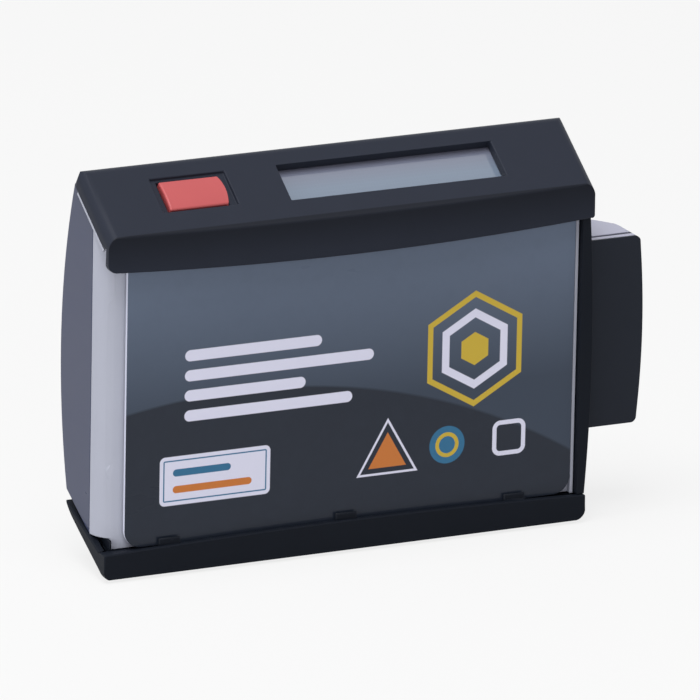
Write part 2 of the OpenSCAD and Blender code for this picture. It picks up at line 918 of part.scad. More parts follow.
module push_button() {
    crown_r = arc_radius(button_h / 2 + button_gap, button_proud);
    color("#cc4f50") {
        intersection() {
            on_slope(button_x, button_u, -flange_top - flange_t / 2)
                linear_extrude(flange_top + flange_t + button_proud)
                    button_outline(0);
            on_slope(button_x, button_u, button_proud - crown_r)
                rotate([0, 90, 0])
                    translate([0, 0, -button_w])
                        cylinder(r = crown_r, h = 2 * button_w, $fn = 2 * $fn);
        }
        slope_block(
            button_x, button_u, button_w + 2 * flange, button_h + 2 * flange,
            flange_top, flange_top + flange_t
        );
        on_slope(button_x, button_u, -plunger_top)
            cylinder(r = stem_r, h = plunger_top - flange_top);
    }
}

module switch_plunger() {
    color("#d8c9a0")
        on_slope(button_x, button_u, -plunger_bottom)
            cylinder(r = plunger_r, h = plunger_bottom - plunger_top);
}

module tact_switch() {
    color("#2b2b2e")
        difference() {
            slope_block(button_x, button_u, switch_w, switch_w, switch_top, display_board_top);
            on_slope(button_x, button_u, switch_floor - display_board_top)
                cylinder(r = plunger_r + plunger_play, h = display_board_top);
        }
}

module display_glass() {
    color("#8795a3")
        slope_block(window_x, window_u, glass_w, glass_h, glass_top, guide_top);
}

module light_guide() {
    color("#dfe3e6")
        slope_block(
            window_x, window_u - (zebra_t + fit) / 2, glass_w, glass_h - zebra_t - fit,
            guide_top, frame_floor
        );
}

module display_frame() {
    color("#2e3036")
        difference() {
            union() {
                slope_block(window_x, window_u, frame_w, frame_h, hood_t, frame_bottom);
                // Feet on the display board
                for (side = [-1, 1], end = [-1, 1])
                    slope_block(
                        window_x + side * (frame_w / 2 - leg_h), button_u + end * (display_board_h / 2 - leg_h),
                        2 * leg_h, 2 * leg_h, frame_floor, display_board_top
                    );
            }
            slope_block(window_x, window_u, glass_w + 2 * fit, glass_h + 2 * fit, hood_t - over, frame_floor);
            slope_block(
                window_x, zebra_u, glass_w - 2 * zebra_t + 2 * fit, zebra_t + 2 * fit,
                hood_t, display_board_top
            );
        }
}

module zebra_strip() {
    color("#7c4a6a")
        slope_block(window_x, zebra_u, glass_w - 2 * zebra_t, zebra_t, guide_top, display_board_top);
}

module display_board() {
    color("#2f6b45")
        slope_block(0, button_u, display_board_w, display_board_h, display_board_top, display_board_bottom);
}

module main_board() {
    color("#2f6b45")
        difference() {
            block([main_left, main_y, main_bottom], [main_right, main_back, main_top]);
            for (place = boss_places)
                post(place, main_y - over, main_back + over, boss_r + fit);
            for (share = standoff_shares)
                post(on_board(share), main_y - over, main_back + over, pilot_r + fit);
        }
}

module antenna_board() {
    color("#8a6f3a")
        difference() {
            block([main_left, bed_back, -antenna_top], [antenna_right, antenna_back, antenna_top]);
            for (place = boss_places)
                post(place, bed_back - over, antenna_back + over, boss_r + fit);
            for (share = standoff_shares)
                post(on_board(share), bed_back - over, antenna_back + over, standoff_r + fit);
        }
}

// A flat part on the main board's back, with its middle at a share of the board
module board_part(share, w, h, depth) {
    p = on_board(share);
    block([p[0] - w / 2, main_back, p[1] - h / 2], [p[0] + w / 2, main_back + depth, p[1] + h / 2]);
}

module controller_chip() {
    pin_count = 8;
    pin_w = chip_w / (3 * pin_count);
    p = on_board(chip_share);
    color("#26282c")
        board_part(chip_share, chip_w, chip_w, chip_t);
    color("#b9bcc2")
        for (i = [0 : pin_count - 1], turn = [0 : 3])
            translate([p[0], main_back, p[1]])
                rotate([0, 90 * turn, 0])
                    translate([chip_w / 2, 0, (i + 0.5) * chip_w / pin_count - chip_w / 2 - pin_w / 2])
                        cube([chip_t / 2, chip_t / 3, pin_w]);
}

module quartz_can() {
    p = on_board(quartz_share);
    r = quartz_h / 2;
    color("#c6c8cc")
        translate([p[0], main_back + quartz_h, p[1]])
            rotate([90, 0, 0])
                linear_extrude(quartz_h) {
                    square([quartz_w - 2 * r, quartz_h], center = true);
                    for (side = [-1, 1])
                        translate([side * (quartz_w / 2 - r), 0])
                            circle(r);
                }
}

module supply_capacitor() {
    p = on_board(capacitor_share);
    color("#2d3550")
        difference() {
            post(p, main_back, main_back + capacitor_l, capacitor_d / 2);
            translate([0, main_back + capacitor_l / 6, 0])
                rotate_groove(p);
        }
}

// The crimped groove near the foot of the capacitor
module rotate_groove(p) {
    translate([p[0], 0, p[1]])
        rotate([-90, 0, 0])
            rotate_extrude()
                translate([capacitor_d / 2, 0])
                    circle(capacitor_d / 14);
}

module infrared_diodes() {
    color("#33304a")
        for (share = diode_shares) {
            p = on_board(share);
            post(p, main_back, main_back + diode_l / 8, diode_d * 0.56);
            post(p, main_back, main_back + diode_l - diode_d / 2, diode_d / 2);
            translate([p[0], main_back + diode_l - diode_d / 2, p[1]])
                sphere(diode_d / 2);
        }
}

module infrared_receiver() {
    p = on_board(receiver_share);
    color("#2a2230") {
        board_part(receiver_share, receiver_d, receiver_d * 0.6, receiver_d * 0.5);
        intersection() {
            translate([p[0], main_back + receiver_d * 0.4, p[1]])
                sphere(receiver_d * 0.28);
            board_part(receiver_share, receiver_d, receiver_d * 0.6, receiver_d);
        }
    }
}

module buzzer() {
    p = on_board(buzzer_share);
    color("#1b1c20")
        difference() {
            post(p, main_back, main_back + buzzer_h, buzzer_d / 2);
            post(p, main_back + buzzer_h * 0.7, main_back + buzzer_h + over, buzzer_d / 10);
        }
}

module board_connector() {
    color("#e6e2d5")
        difference() {
            board_part(connector_share, connector_w, connector_h, connector_h);
            translate([0, connector_h / 2, 0])
                board_part(connector_share, connector_w * 0.85, connector_h / 3, connector_h);
        }
}

module battery_bay() {
    color("#30333a")
        difference() {
            block(
                [bay_x, antenna_back, -bay_h / 2 - bay_t],
                [bay_end, bay_depth, bay_h / 2 + bay_t]
            );
            block([bay_x + bay_t, bay_back, -bay_h / 2], [bay_end + over, bay_depth + over, bay_h / 2]);
        }
}

// Flat contacts on the bay's inner wall, one for each cell
module bay_contacts() {
    color("#c9b36a")
        for (row = [-1 : 1])
            block(
                [bay_x + bay_t, cell_y - cell_d / 5, row * cell_pitch - cell_d / 4],
                [bay_x + bay_t + contact_t, cell_y + cell_d / 5, row * cell_pitch + cell_d / 4]
            );
}

// Front view of the grip, with a bulging end and round corners, drawn in by an inset
module grip_front(inset) {
    r = grip_round;
    polygon(concat(
        [[grip_x + inset, -grip_h / 2 + inset]],
        arc_points(grip_corner(-1), r - inset, grip_lean(-1) - 90, grip_lean(-1), round_steps),
        arc_points([grip_end - grip_end_r, 0], grip_end_r - inset, grip_lean(-1), grip_lean(1), 2 * round_steps),
        arc_points(grip_corner(1), r - inset, grip_lean(1), grip_lean(1) + 90, round_steps),
        [[grip_x + inset, grip_h / 2 - inset]]
    ));
}

// The grip's end leans by a small angle at its corners, up or down
function grip_lean(side) = side * asin((grip_h / 2 - grip_round) / (grip_end_r - grip_round));
function grip_corner(side) = along([grip_end - grip_end_r, 0], grip_lean(side), grip_end_r - grip_round);

// The grip is round at its rear right edge, seen from above
module grip_plan_cylinder() {
    translate([grip_side_x, cradle_y, -reach])
        cylinder(r = grip_side_r, h = 2 * reach, $fn = 4 * $fn);
}

module cell_rooms(from, to) {
    across(from, to) {
        for (row = [-1 : 1])
            translate([cell_y, row * cell_pitch])
                circle(cell_d / 2 + cell_gap);
        translate([cell_y - cell_d / 12, -cradle_h / 2 + drawer_t])
            square([reach, cradle_h - 2 * drawer_t]);
    }
}

module drawer_cradle() {
    room_x = cradle_x + drawer_t;
    rim_back = cradle_y + grip_plate_t + grip_rim;
    color("#c2bfc9")
        difference() {
            union() {
                across(cradle_x, grip_x + over)
                    translate([cradle_y, -cradle_h / 2])
                        square([bay_depth - cradle_y, cradle_h]);
                intersection() {
                    union() {
                        through(cradle_y + grip_plate_t, rim_back)
                            grip_front(0);
                        through(rim_back, rim_back + grip_line)
                            grip_front(grip_line_d);
                        through(rim_back + grip_line, grip_back)
                            grip_front(0);
                    }
                    grip_plan_cylinder();
                }
            }
            // The front plate takes the place of the front wall outside the case
            block([grip_x - seam, 0, -reach], [grip_end + over, cradle_y + grip_plate_t, reach]);
            // Rooms for the cells, open to the back inside the case
            cell_rooms(room_x, grip_x - seam);
            across(grip_x - drawer_play, cell_end + bridge_t + cell_gap)
                for (row = [-1 : 1])
                    translate([cell_y, row * cell_pitch])
                        circle(cell_d / 2 + cell_gap);
            // Holes for the rivets of the inner contacts
            for (row = [-1 : 1])
                translate([cradle_x - over, cell_y, row * cell_pitch])
                    rotate([0, 90, 0])
                        cylinder(r = cell_d / 8 + seam, h = drawer_t + 2 * over);
        }
}

module grip_plate() {
    color("#26282e")
        intersection() {
            through(cradle_y, cradle_y + grip_plate_t)
                grip_front(0);
            grip_plan_cylinder();
        }
}

// One cell, with its plus button towards the grip
module cell(row) {
    button_l = cell_d / 9;
    translate([cell_start, cell_y, row * cell_pitch])
        rotate([0, 90, 0]) {
            cylinder(r = cell_d / 2, h = cell_l - button_l);
            cylinder(r = cell_d / 5, h = cell_l);
        }
}

module upper_cell() {
    color("#9aa3ad") cell(1);
}

module middle_cell() {
    color("#9aa3ad") cell(0);
}

module lower_cell() {
    color("#9aa3ad") cell(-1);
}

// Conical springs behind the cells, each on a riveted plate
turns = 3;
turn_steps = 8;
wire_sides = 6;
wire_r = contact_t / 2;

function coil_point(i) =
    let (s = i / (turns * turn_steps), a = 360 * i / turn_steps, r = cell_d / 2.6 - s * cell_d / 7)
    [wire_r + s * (spring_l - 2 * wire_r - cell_gap), r * cos(a), r * sin(a)];

function coil_ring(i) =
    let (c = coil_point(i), a = 360 * i / turn_steps)
    [for (k = [0 : wire_sides - 1])
        let (b = 360 * k / wire_sides)
        [c[0] + wire_r * sin(b), c[1] + wire_r * cos(b) * cos(a), c[2] + wire_r * cos(b) * sin(a)]];

module coil_spring() {
    last = turns * turn_steps;
    n = wire_sides;
    polyhedron(
        points = [for (i = [0 : last]) each coil_ring(i)],
        faces = concat(
            [[for (k = [n - 1 : -1 : 0]) k]],
            [for (i = [0 : last - 1], k = [0 : n - 1], half = [0, 1])
                half == 0
                    ? [(i + 1) * n + k, i * n + k, (i + 1) * n + (k + 1) % n]
                    : [(i + 1) * n + (k + 1) % n, i * n + k, i * n + (k + 1) % n]],
            [[for (k = [0 : n - 1]) last * n + k]]
        )
    );
}

module cell_springs() {
    plate_x = cradle_x + drawer_t;
    color("#c3c6cb")
        for (row = [-1 : 1])
            translate([plate_x, cell_y, row * cell_pitch]) {
                rotate([0, 90, 0])
                    cylinder(r = cell_d / 2.4, h = contact_t);
                rotate([0, -90, 0])
                    cylinder(r = cell_d / 8, h = drawer_t);
                translate([contact_t, 0, 0])
                    coil_spring();
            }
}

// Plates that join the cells' plus ends in the grip
module bridge_strips() {
    color("#c9ccd2")
        for (row = [-1 : 1])
            translate([cell_end + cell_gap, cell_y, row * cell_pitch])
                rotate([0, 90, 0])
                    cylinder(r = cell_d / 2.4, h = bridge_t);
}

// A pan-head screw that points to the front, with its head's seat at y = 0
module screw(length) {
    rotate([90, 0, 0])
        cylinder(r = screw_d / 2, h = length);
    difference() {
        rotate([-90, 0, 0])
            cylinder(r1 = head_d / 2, r2 = head_d / 2.6, h = head_h);
        for (turn = [0, 90])
            rotate([0, turn, 0])
                translate([-head_d / 4, head_h / 2, -head_d / 16])
                    cube([head_d / 2, head_h, head_d / 8]);
    }
}

module case_screws() {
    color("#8d9096")
        for (place = boss_places)
            translate([place[0], back_at(place[1]) - head_sunk, place[1]])
                screw(screw_l);
}

module board_screws() {
    color("#8d9096")
        for (share = standoff_shares)
            let (p = on_board(share))
                translate([p[0], main_back, p[1]])
                    screw(board_screw_l);
}

// The frame's origin lies in the middle of the flat land on the back
module from_land() {
    translate([0, -land_y, -back_rise])
        children();
}

from_land() top_hood();
from_land() bottom_tray();
from_land() card_stop();
from_land() front_shell();
from_land() rear_cover();
from_land() smart_card();
from_land() card_springs();
from_land() push_button();
from_land() switch_plunger();
from_land() tact_switch();
from_land() display_glass();
from_land() light_guide();
from_land() display_frame();
from_land() zebra_strip();
from_land() display_board();
from_land() main_board();
from_land() antenna_board();
from_land() controller_chip();
from_land() quartz_can();
from_land() supply_capacitor();
from_land() infrared_diodes();
from_land() infrared_receiver();
from_land() buzzer();
from_land() board_connector();
from_land() battery_bay();
from_land() bay_contacts();
from_land() drawer_cradle();
from_land() grip_plate();
from_land() upper_cell();
from_land() middle_cell();
from_land() lower_cell();
from_land() cell_springs();
from_land() bridge_strips();
from_land() case_screws();
from_land() board_screws();
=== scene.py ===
import math

import bmesh
import bpy
from bpy.props import (
    FloatProperty,
    FloatVectorProperty,
    PointerProperty,
)
from bpy.types import Operator, Panel, PropertyGroup
from mathutils import Matrix, Vector


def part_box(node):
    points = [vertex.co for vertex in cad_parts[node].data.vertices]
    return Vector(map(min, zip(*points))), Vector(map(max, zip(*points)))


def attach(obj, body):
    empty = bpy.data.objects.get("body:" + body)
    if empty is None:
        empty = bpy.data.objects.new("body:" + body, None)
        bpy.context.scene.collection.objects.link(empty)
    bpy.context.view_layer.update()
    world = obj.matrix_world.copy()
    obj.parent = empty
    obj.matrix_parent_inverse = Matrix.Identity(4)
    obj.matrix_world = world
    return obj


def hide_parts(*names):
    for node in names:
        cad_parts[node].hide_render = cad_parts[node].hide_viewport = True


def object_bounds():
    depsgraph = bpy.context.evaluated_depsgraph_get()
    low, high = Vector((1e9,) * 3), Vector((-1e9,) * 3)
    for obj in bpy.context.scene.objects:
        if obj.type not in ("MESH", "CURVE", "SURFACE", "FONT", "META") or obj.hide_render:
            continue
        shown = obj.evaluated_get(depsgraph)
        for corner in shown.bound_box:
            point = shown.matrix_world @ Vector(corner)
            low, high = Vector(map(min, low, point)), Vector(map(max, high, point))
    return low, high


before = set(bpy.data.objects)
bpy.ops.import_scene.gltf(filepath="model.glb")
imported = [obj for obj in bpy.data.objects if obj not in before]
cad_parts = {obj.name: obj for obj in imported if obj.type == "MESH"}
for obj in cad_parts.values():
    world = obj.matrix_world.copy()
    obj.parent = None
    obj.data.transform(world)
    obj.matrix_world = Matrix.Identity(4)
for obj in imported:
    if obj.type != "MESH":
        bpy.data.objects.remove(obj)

bl_info = {
    "name": "Toll Transponder Dressing",
    "version": (1, 0, 0),
    "blender": (4, 5, 0),
    "location": "3D View > Sidebar > Transponder",
    "description": "Finishes, small pieces, camera and stage for a windscreen toll transponder",
    "category": "Object",
}

MM = 0.001
SIN_30, COS_30 = 0.5, 0.866
SQUARE = ((-1, -1), (1, -1), (1, 1), (-1, 1))
SENSOR_WIDTH, PICTURE_WIDTH = 36.0, 700.0
CAD_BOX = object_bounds()


def srgb(red, green, blue):
    """A colour named by its 8-bit screen values, as linear light."""
    def linear(value):
        """The sRGB standard's curve."""
        value /= 255
        return value / 12.92 if value <= 0.04045 else ((value + 0.055) / 1.055) ** 2.4
    return tuple(linear(value) for value in (red, green, blue))


class Wire:
    """A node socket that can be used in ordinary Python expressions."""

    def __init__(self, tree, socket):
        self.tree = tree
        self.socket = socket

    def math(self, operation, *others, clamp=False):
        node = self.tree.nodes.new("ShaderNodeMath")
        node.operation = operation
        node.use_clamp = clamp
        for place, value in zip(node.inputs, (self, *others)):
            plug(self.tree, place, value)
        return Wire(self.tree, node.outputs[0])

    def __add__(self, other):
        return self.math("ADD", other)

    __radd__ = __add__

    def __sub__(self, other):
        return self.math("SUBTRACT", other)

    def __rsub__(self, other):
        return (self * -1.0) + other

    def __mul__(self, other):
        return self.math("MULTIPLY", other)

    __rmul__ = __mul__

    def __truediv__(self, other):
        return self.math("DIVIDE", other)

    def __neg__(self):
        return self * -1.0

    def __abs__(self):
        return self.math("ABSOLUTE")

    def clamped(self):
        return self.math("ADD", 0.0, clamp=True)

    def swing(self, amount):
        """Noise as a swing of half the amount up and down."""
        return (self - 0.5) * amount

    def under(self, other, soft):
        """1 where this value is less than the other, with an edge as wide as soft."""
        return ((self * -1.0 + other) / soft + 0.5).clamped()

    def over(self, other, soft):
        return 1 - self.under(other, soft)

    def fraction(self):
        return self.math("FRACT")

    def root(self):
        return self.math("SQRT")

    def largest(self, other):
        return self.math("MAXIMUM", other)

    def least(self, other):
        return self.math("MINIMUM", other)


def plug(tree, place, value):
    """Links a wire to a socket, or sets the socket's constant; shader sockets have none."""
    if isinstance(value, Wire):
        tree.links.new(value.socket, place)
    elif hasattr(place, "default_value"):
        if hasattr(place.default_value, "__len__") and not hasattr(value, "__len__"):
            value = (value,) * len(place.default_value)
        elif hasattr(value, "__len__") and len(value) == 3 and len(place.default_value) == 4:
            value = (*value, 1.0)
        place.default_value = value


class Sheet:
    """The node tree of one material."""

    def __init__(self, name):
        self.material = bpy.data.materials.new(name)
        self.material.use_nodes = True
        self.tree = self.material.node_tree
        self.tree.nodes.clear()

    def add(self, kind, out=0, settings=None, **sockets):
        """Adds one node: its settings first, then the values or links of its sockets."""
        node = self.tree.nodes.new(kind)
        for key, value in (settings or {}).items():
            if key == "stops":
                ramp = node.color_ramp
                while len(ramp.elements) < len(value):
                    ramp.elements.new(0.5)
                for element, (place, colour) in zip(ramp.elements, value):
                    element.position = place
                    element.color = (*colour, 1.0)
            else:
                setattr(node, key, value)
        for key, value in sockets.items():
            plug(self.tree, socket_named(node.inputs, key), value)
        return Wire(self.tree, node.outputs[out]) if node.outputs else None

    def place(self):
        """Where a point of the surface lies, in the row frame."""
        return self.add("ShaderNodeTexCoord", out=3)

    def axes(self):
        """The point's x, y and z in metres."""
        node = self.tree.nodes.new("ShaderNodeSeparateXYZ")
        plug(self.tree, node.inputs[0], self.place())
        return [Wire(self.tree, socket) for socket in node.outputs]

    def noise(self, scale, detail=2.0, roughness=0.5, stretch=(1, 1, 1)):
        """Soft noise with about scale spots to a metre, closer along the stretched axes."""
        place = self.add(
            "ShaderNodeVectorMath", settings={"operation": "MULTIPLY"},
            a=self.place(), b=tuple(scale * s for s in stretch),
        )
        return self.add(
            "ShaderNodeTexNoise", Vector=place, Scale=1.0, Detail=detail, Roughness=roughness,
        )

    def mix(self, factor, first, second):
        """Mixes two colours."""
        return self.add(
            "ShaderNodeMix", out=2, settings={"data_type": "RGBA"},
            Factor_Float=factor, A_Color=first, B_Color=second,
        )

    def shaded(self, colour, shade):
        """Multiplies a colour by a number."""
        return self.add(
            "ShaderNodeMix", out=2, settings={"data_type": "RGBA", "blend_type": "MULTIPLY"},
            Factor_Float=1.0, A_Color=colour, B_Color=grey(self, shade),
        )

    def bump(self, height, strength, depth):
        """A normal bent by heights of 0 to 1 that stand for the depth in metres."""
        return self.add("ShaderNodeBump", Strength=strength, Distance=depth, Height=height)

    def finish(self, **sockets):
        surface = self.add("ShaderNodeBsdfPrincipled", **sockets)
        self.add("ShaderNodeOutputMaterial", Surface=surface)
        return self.material


def rounded_box(across, up, middle, size, radius):
    """Distance outside a box with round corners; inside it goes down to the radius below zero."""
    x = (abs(across - middle[0]) - (size[0] / 2 - radius)).largest(0.0)
    z = (abs(up - middle[1]) - (size[1] / 2 - radius)).largest(0.0)
    return (x * x + z * z).root() - radius


def disc(across, up, middle, radius):
    """Distance outside a disc."""
    x = across - middle[0]
    z = up - middle[1]
    return (x * x + z * z).root() - radius


def hexagon(across, up, middle, radius):
    """Distance outside a hexagon that stands on a corner."""
    x = abs(across - middle[0])
    z = abs(up - middle[1])
    return x.largest(x * SIN_30 + z * COS_30) - radius


def triangle(across, up, middle, radius):
    """Distance outside a triangle that stands on a side."""
    x = abs(across - middle[0])
    z = up - middle[1]
    return (x * COS_30 + z * SIN_30).largest(-z) - radius


def line_along(shape, inside, half, soft):
    """A line that runs inside a shape's outline; half is half its width."""
    return abs(shape + inside).under(half, soft)


def socket_named(inputs, key):
    """Finds an input by its name, where _ stands for a space, or by its identifier."""
    short = {"a": 0, "b": 1}
    if key in short:
        return inputs[short[key]]
    for socket in inputs:
        if socket.identifier == key or socket.name == key.replace("_", " "):
            return socket
    raise KeyError(key)


def moulded(name, colour, roughness, grain=0.25, mottle=0.06, coat=0.0, gloss=0.3, painted_shade=None):
    """Injection-moulded plastic: a fine spark-eroded grain, a faint mottle and rubbed places.

    tone takes the axes and gives the painted shade: what the colour is multiplied by from place to
    place."""
    sheet = Sheet(name)
    cloud = sheet.noise(160.0, detail=3.0, roughness=0.6)
    tint = 1 - mottle + cloud * (2 * mottle)
    # the colour is multiplied by the painted shade here, on top of the random mottle
    if painted_shade:
        tint = tint * painted_shade(*sheet.axes())
    base = sheet.shaded(colour, tint)
    smear = sheet.noise(45.0, detail=4.0, roughness=0.65, stretch=(1, 1, 2.5))
    rough = (roughness + smear.swing(0.16) + cloud.swing(0.06)).clamped()
    fine = sheet.noise(5200.0, detail=2.0, roughness=0.55)
    coarse = sheet.noise(900.0)
    normal = sheet.bump(fine * 0.7 + coarse * 0.3, grain, depth=0.04 * MM)
    return sheet.finish(
        Base_Color=base, Roughness=rough, Normal=normal,
        Coat_Weight=coat, Coat_Roughness=0.08, IOR=1.5, Specular_IOR_Level=gloss,
    )


def grey(sheet, value):
    """A grey colour from a number."""
    node = sheet.tree.nodes.new("ShaderNodeCombineColor")
    for place in node.inputs:
        plug(sheet.tree, place, value)
    return Wire(sheet.tree, node.outputs[0])


def metal(name, colour, roughness, brushed=(1, 1, 1)):
    """Plated or brushed metal with fine scratches along one axis."""
    sheet = Sheet(name)
    lines = sheet.noise(1500.0, detail=3.0, roughness=0.6, stretch=brushed)
    base = sheet.shaded(colour, 0.86 + lines * 0.28)
    rough = (roughness + lines.swing(0.2)).clamped()
    return sheet.finish(
        Base_Color=base, Roughness=rough, Metallic=1.0,
        Normal=sheet.bump(lines, 0.2, depth=0.03 * MM),
    )


def pull_back(form, radius):
    """Moves points that stand in front of the round left front corner, in plan, back onto it.

    Gives those points and their neighbours. What stands out less than the slack stays."""
    slack, reach, merge = 0.03 * MM, 0.35 * MM, 0.04 * MM
    middle_x = min(corner.co.x for corner in form.verts) + radius
    middle_y = min(corner.co.y for corner in form.verts) + radius
    moved = []
    for corner in form.verts:
        across = corner.co.x - middle_x
        if -radius < across < 0:
            edge = middle_y - math.sqrt(radius ** 2 - across ** 2)
            if corner.co.y < edge - slack:
                corner.co.y = edge
                moved.append(corner)
    near = [
        corner for corner in form.verts
        if any((corner.co - other.co).length < reach for other in moved)
    ]
    faces = {face for corner in moved for face in corner.link_faces}
    bmesh.ops.triangulate(form, faces=list(faces))
    bmesh.ops.remove_doubles(form, verts=near, dist=merge)
    return {corner for corner in near if corner.is_valid}


def object_from(form, name, material):
    """Turns a bmesh into an object of the scene, with its material."""
    mesh = bpy.data.meshes.new(name)
    form.to_mesh(mesh)
    form.free()
    mesh.materials.append(material)
    thing = bpy.data.objects.new(name, mesh)
    bpy.context.scene.collection.objects.link(thing)
    return thing


def shade_by_area(thing):
    """Lets the large faces set the shading, and keeps the sharp edges."""
    shading = thing.modifiers.new("Shading", "WEIGHTED_NORMAL")
    shading.keep_sharp = True


def bar(name, ends, across, up, corner, material, body):
    """A straight bar with rounded edges between two points.

    across and up are its half sizes as vectors, all in millimetres."""
    start, end = (Vector(place) * MM for place in ends)
    across, up = Vector(across) * MM, Vector(up) * MM
    form = bmesh.new()
    rings = [
        [form.verts.new(middle + across * a + up * b) for a, b in SQUARE]
        for middle in (start, end)
    ]
    first, last = rings
    for i in range(4):
        j = (i + 1) % 4
        form.faces.new((first[i], first[j], last[j], last[i]))
    form.faces.new(first[::-1])
    form.faces.new(last)
    bmesh.ops.recalc_face_normals(form, faces=form.faces)
    bmesh.ops.bevel(
        form, geom=form.edges[:], offset=corner * MM, segments=3, profile=0.5, affect="EDGES",
    )
    for face in form.faces:
        face.smooth = True
    thing = object_from(form, name, material)
    shade_by_area(thing)
    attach(thing, body)


def piece_from(node, name, material, body, bevel, segments=3, cheek=0.0):
    """A copy of a CAD node with softly rounded edges and smooth curved faces.

    bevel is the radius of its edges in millimetres, and edges too short for it stay sharp.
    cheek is the radius of a left front corner that nothing stands out of."""
    same_place, same_plane, curved = 0.002 * MM, math.radians(0.2), math.radians(32.0)
    shortest_edge = 2.2 * bevel * MM
    form = bmesh.new()
    form.from_mesh(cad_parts[node].data)
    bmesh.ops.remove_doubles(form, verts=form.verts, dist=same_place)
    bmesh.ops.dissolve_limit(
        form, angle_limit=same_plane, verts=form.verts, edges=form.edges,
        use_dissolve_boundaries=False,
    )
    flush = pull_back(form, cheek) if cheek else set()
    bmesh.ops.recalc_face_normals(form, faces=form.faces)
    for face in form.faces:
        face.smooth = True
    weight = form.edges.layers.float.new("bevel_weight_edge")
    for edge in form.edges:
        if len(edge.link_faces) == 2:
            trimmed = all(corner in flush for corner in edge.verts)
            edge.smooth = edge.calc_face_angle(0.0) < curved or trimmed
            if not edge.smooth and edge.calc_length() > shortest_edge:
                edge[weight] = 1.0
    thing = object_from(form, name, material)
    rounding = thing.modifiers.new("Edges", "BEVEL")
    rounding.width = bevel * MM
    rounding.segments = segments
    rounding.limit_method = "WEIGHT"
    rounding.use_clamp_overlap = False
    shade_by_area(thing)
    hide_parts(node)
    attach(thing, body)


def card_print(low, look):
    """Printed, laminated card: a white core, a slate front with plain marks and a pale back.

    Places and sizes in the print are in millimetres, from the card's lower left corner."""
    sheet = Sheet("laminated card")
    x, y, z = sheet.axes()
    across = (x - low[0]) / MM
    up = (z - low[2]) / MM
    haze_up, haze_deep = 22, 30
    ink = sheet.mix(((up - haze_up) / haze_deep).clamped(), look.haze, look.top)
    arc = disc(across, up, (22, -95), 121)
    ink = sheet.mix(arc.under(0, 0.5), ink, look.low)
    cloud = sheet.noise(240.0, detail=3.0, roughness=0.6)
    ink = sheet.mix(abs(cloud - 0.5) * 0.25, ink, look.haze)

    edge, fine_edge = 0.12, 0.1
    stripes = None
    for middle, width in (((24, 33.4), 26), ((29, 29.8), 36), ((22.5, 26.2), 23), ((27, 22.6), 32)):
        stripe = rounded_box(across, up, middle, (width, 2.0), 1.0)
        stripes = stripe if stripes is None else stripes.least(stripe)
    outer_badge, inner_badge, badge_core = (
        hexagon(across, up, (66.5, 28.5), radius) for radius in (8.6, 5.6, 2.6)
    )
    label = rounded_box(across, up, (17, 11.2), (21, 8.8), 1.0)
    upper_line, lower_line = (
        rounded_box(across, up, middle, (width, 1.3), 0.65)
        for middle, width in (((14.5, 12.6), 11), ((16.5, 9.6), 15))
    )
    gable = triangle(across, up, (50, 11.0), 2.1)
    dot = disc(across, up, (61.5, 11.6), 3.4)
    tile = rounded_box(across, up, (73.5, 11.6), (6.4, 6.4), 1.5)
    for mask, tint in (
        (stripes.under(0, edge), look.white),
        (line_along(outer_badge, 0, 0.5, edge), look.yellow),
        (line_along(inner_badge, 0, 0.7, edge), look.white),
        (badge_core.under(0, edge), look.yellow),
        (label.under(0, edge), look.white),
        (line_along(label, 0.8, 0.12, fine_edge), look.blue),
        (upper_line.under(0, fine_edge), look.blue),
        (lower_line.under(0, fine_edge), look.orange),
        (gable.under(0, edge), look.orange),
        (line_along(gable, -1.1, 0.2, fine_edge), look.white),
        (dot.under(0, edge), look.blue),
        (line_along(dot, 1.5, 0.35, fine_edge), look.yellow),
        (line_along(tile, 0.4, 0.4, fine_edge), look.white),
    ):
        ink = sheet.mix(mask, ink, tint)

    front = y.under(low[1] + 0.05 * MM, 0.03 * MM)
    base = sheet.mix(front, look.core, ink)
    scuff = sheet.noise(30.0, detail=4.0, roughness=0.6, stretch=(1, 1, 3))
    fine = sheet.noise(1400.0)
    return sheet.finish(
        Base_Color=base, Roughness=(0.3 + scuff.swing(0.14)).clamped(),
        Normal=sheet.bump(fine, 0.04, depth=0.02 * MM),
        Coat_Weight=0.25 + scuff.swing(0.1), Coat_Roughness=0.07, Specular_IOR_Level=0.15,
    )


def liquid_crystal(low, high, look):
    """Reflective LCD behind glass: a grey-blue field, a purplish painted shade at the top, faint
    cells, a dark seal.
    """
    sheet = Sheet("liquid crystal glass")
    x, y, z = sheet.axes()
    across = (x - low[0]) / MM
    up = (z - low[2]) / MM
    rise = ((z - low[2]) / (high[2] - low[2])).clamped()
    # painted shade: the field darkens to a purplish grey at the top, under the hood's edge
    field = sheet.add("ShaderNodeValToRGB", settings={"stops": (
        (0.0, look.field), (0.55, look.field), (0.95, look.upper),
    )}, Fac=rise)
    column_pitch, row_pitch = 0.6, 0.45
    column = abs((across / column_pitch).fraction() - 0.5).under(0.42, 0.05)
    row = abs((up / row_pitch).fraction() - 0.5).under(0.4, 0.05)
    shade = sheet.noise(90.0, detail=3.0, roughness=0.5)
    faint = column * row * 0.05 + abs(shade - 0.5) * 0.1
    field = sheet.mix(faint, field, look.cells)
    # slant is the length of the glass along the hood's slope
    width, slant, seal_width = (high[0] - low[0]) / MM, 8.6, 0.6
    inside = rounded_box(
        across, rise * slant, (width / 2, slant / 2),
        (width - 2 * seal_width, slant - seal_width), 0.5,
    )
    base = sheet.mix(inside.over(0, 0.15), field, look.seal)
    smear = sheet.noise(60.0, detail=3.0, roughness=0.6)
    return sheet.finish(
        Base_Color=base, Roughness=(0.14 + smear.swing(0.08)).clamped(),
        Normal=sheet.bump(smear, 0.02, depth=0.02 * MM), Coat_Weight=0.8, Coat_Roughness=0.04,
    )


